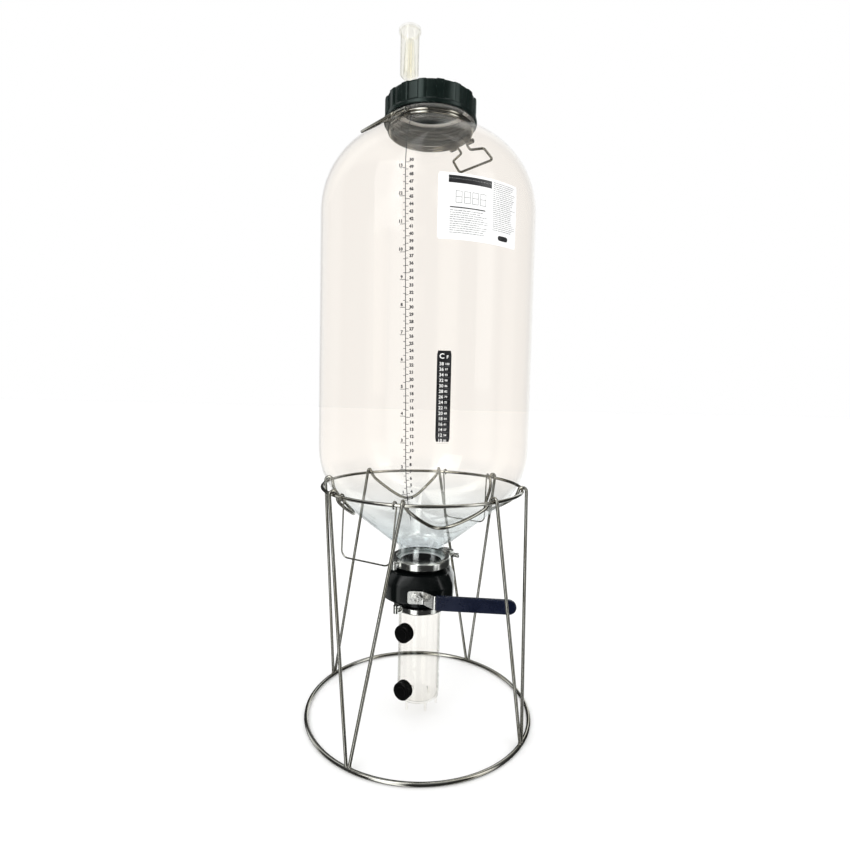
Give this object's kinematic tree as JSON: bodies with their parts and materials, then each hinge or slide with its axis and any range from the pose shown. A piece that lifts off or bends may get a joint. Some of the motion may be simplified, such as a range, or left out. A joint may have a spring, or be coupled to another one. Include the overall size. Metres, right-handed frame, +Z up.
{
  "type": "conical fermenter",
  "caption": "Tall clear cone-bottomed fermenting tank held upright in a wire ring stand, with a black screw lid, airlock, bottom dump valve with side lever, and a clear collection jar.",
  "frame": {"origin": "on the floor, at the centre of the base ring, under the tank axis", "axes": "+Z up along the tank axis, -Y to the front where the valve lever is, +X to the right towards the lever tip"},
  "size_m": [0.3986, 0.3986, 1.167],
  "materials": {
    "stainless_rod": "bright drawn rod, electropolished after welding",
    "stainless_fitting": "satin stamped stainless steel",
    "clamp_steel": "polished cast stainless steel",
    "clear_tank": "clear blown polyester, glossy",
    "clear_moulding": "clear injection moulded plastic, glossy",
    "airlock_plastic": "clear styrene with a faint warm tint",
    "black_moulding": "black polypropylene, semi-gloss",
    "port_cap_black": "black polypropylene, satin",
    "black_rubber": "soft black rubber",
    "white_silicone": "translucent white silicone",
    "navy_vinyl": "dipped navy vinyl, satin",
    "label_paper": "white film label, printed black",
    "thermometer_black": "black film strip with pale figures"
  },
  "bodies": {
    "stand_and_vessel": {"stand_base_ring": "stainless_rod", "stand_top_ring": "stainless_rod", "stand_rod_1": "stainless_rod", "stand_rod_2": "stainless_rod", "stand_rod_3": "stainless_rod", "stand_rod_4": "stainless_rod", "tank": "clear_tank", "instruction_label": "label_paper", "thermometer_strip": "thermometer_black", "neck_ring_lower": "stainless_rod", "neck_ring_upper": "stainless_rod", "carry_handle_back_tube_left": "stainless_rod", "carry_handle_back_tube_right": "stainless_rod", "carry_handle_front_tube_left": "stainless_rod", "carry_handle_front_tube_right": "stainless_rod", "outlet_gasket": "white_silicone", "jar_gasket": "white_silicone", "valve_body": "black_moulding", "valve_liner": "white_silicone", "stem_bush_front": "black_moulding", "stem_bush_back": "black_moulding", "stem_seal": "black_rubber", "upper_clamp_left": "clamp_steel", "upper_clamp_right": "clamp_steel", "upper_clamp_hinge_pin": "clamp_steel", "upper_clamp_bolt_pin": "clamp_steel", "lower_clamp_left": "clamp_steel", "lower_clamp_right": "clamp_steel", "lower_clamp_hinge_pin": "clamp_steel", "lower_clamp_bolt_pin": "clamp_steel", "collection_jar": "clear_moulding"},
    "stand_handle_back": {"stand_handle_back": "stainless_rod"},
    "stand_handle_front": {"stand_handle_front": "stainless_rod"},
    "carry_handle_back": {"carry_handle_back": "stainless_rod"},
    "carry_handle_front": {"carry_handle_front": "stainless_rod"},
    "lid_seal": {"lid_seal": "white_silicone"},
    "lid": {"lid": "black_moulding", "airlock_grommet": "black_rubber"},
    "airlock": {"airlock_body": "airlock_plastic"},
    "airlock_cap": {"airlock_cap": "airlock_plastic"},
    "airlock_bubbler": {"airlock_bubbler": "airlock_plastic"},
    "valve_lever": {"valve_stem": "stainless_fitting", "valve_disc": "black_moulding", "stem_washer": "stainless_fitting", "lever_plate": "stainless_fitting", "stem_nut": "stainless_fitting", "lever_sleeve": "navy_vinyl"},
    "upper_clamp_bolt": {"upper_clamp_bolt": "clamp_steel"},
    "upper_clamp_wing_nut": {"upper_clamp_wing_nut": "clamp_steel"},
    "lower_clamp_bolt": {"lower_clamp_bolt": "clamp_steel"},
    "lower_clamp_wing_nut": {"lower_clamp_wing_nut": "clamp_steel"},
    "port_liner_upper": {"port_liner_upper": "white_silicone"},
    "port_cap_upper": {"port_cap_upper": "port_cap_black"},
    "port_liner_lower": {"port_liner_lower": "white_silicone"},
    "port_cap_lower": {"port_cap_lower": "port_cap_black"}
  },
  "joints": [
    {"name": "lid_lift", "type": "slide", "parent": "stand_and_vessel", "child": "lid_seal", "axis": [0, 0, 1], "range_m": [0, 0.15]},
    {"name": "lid_turn", "type": "hinge", "parent": "lid_seal", "child": "lid", "pos_m": [0, 0, 1.012], "axis": [0, 0, 1], "range_deg": [0, 540]},
    {"name": "airlock_pull", "type": "slide", "parent": "lid", "child": "airlock", "axis": [0, 0, 1], "range_m": [0, 0.04]},
    {"name": "airlock_cap_lift", "type": "slide", "parent": "airlock", "child": "airlock_cap", "axis": [0, 0, 1], "range_m": [0, 0.03]},
    {"name": "bubbler_float", "type": "slide", "parent": "airlock", "child": "airlock_bubbler", "axis": [0, 0, 1], "range_m": [0, 0.008]},
    {"name": "carry_handle_back_swing", "type": "hinge", "parent": "stand_and_vessel", "child": "carry_handle_back", "pos_m": [0.0564, 0.05079, 1.0034], "axis": [0.6691, -0.7431, 0], "range_deg": [0, 95]},
    {"name": "carry_handle_front_swing", "type": "hinge", "parent": "stand_and_vessel", "child": "carry_handle_front", "pos_m": [-0.0564, -0.05079, 1.0034], "axis": [-0.6691, 0.7431, 0], "range_deg": [0, 95]},
    {"name": "stand_handle_back_swing", "type": "hinge", "parent": "stand_and_vessel", "child": "stand_handle_back", "pos_m": [0.08655, 0.14123, 0.4027], "axis": [0.8526, -0.5225, 0], "range_deg": [-25, 150]},
    {"name": "stand_handle_front_swing", "type": "hinge", "parent": "stand_and_vessel", "child": "stand_handle_front", "pos_m": [-0.08131, -0.14431, 0.4027], "axis": [-0.8712, 0.4909, 0], "range_deg": [-25, 150]},
    {"name": "valve_lever_turn", "type": "hinge", "parent": "stand_and_vessel", "child": "valve_lever", "pos_m": [0, 0, 0.226], "axis": [0.0872, 0.9962, 0], "range_deg": [0, 90]},
    {"name": "upper_clamp_bolt_swing", "type": "hinge", "parent": "stand_and_vessel", "child": "upper_clamp_bolt", "pos_m": [0.04427, 0.04759, 0.2715], "axis": [0, 0, 1], "range_deg": [0, 100]},
    {"name": "upper_clamp_nut_spin", "type": "hinge", "parent": "upper_clamp_bolt", "child": "upper_clamp_wing_nut", "pos_m": [0.05712, 0.03227, 0.2715], "axis": [0.6428, -0.766, 0], "continuous": true},
    {"name": "lower_clamp_bolt_swing", "type": "hinge", "parent": "stand_and_vessel", "child": "lower_clamp_bolt", "pos_m": [0.05063, 0.0294, 0.1929], "axis": [0, 0, -1], "range_deg": [0, 100]},
    {"name": "lower_clamp_nut_spin", "type": "hinge", "parent": "lower_clamp_bolt", "child": "lower_clamp_wing_nut", "pos_m": [0.03832, 0.04516, 0.1929], "axis": [-0.6157, 0.788, 0], "continuous": true},
    {"name": "port_upper_pull", "type": "slide", "parent": "stand_and_vessel", "child": "port_liner_upper", "axis": [-0.5, -0.866, 0], "range_m": [0, 0.03]},
    {"name": "port_upper_turn", "type": "hinge", "parent": "port_liner_upper", "child": "port_cap_upper", "pos_m": [-0.0225, -0.03897, 0.157], "axis": [-0.5, -0.866, 0], "range_deg": [0, 540]},
    {"name": "port_lower_pull", "type": "slide", "parent": "stand_and_vessel", "child": "port_liner_lower", "axis": [-0.5, -0.866, 0], "range_m": [0, 0.03]},
    {"name": "port_lower_turn", "type": "hinge", "parent": "port_liner_lower", "child": "port_cap_lower", "pos_m": [-0.0225, -0.03897, 0.057], "axis": [-0.5, -0.866, 0], "range_deg": [0, 540]}
  ]
}
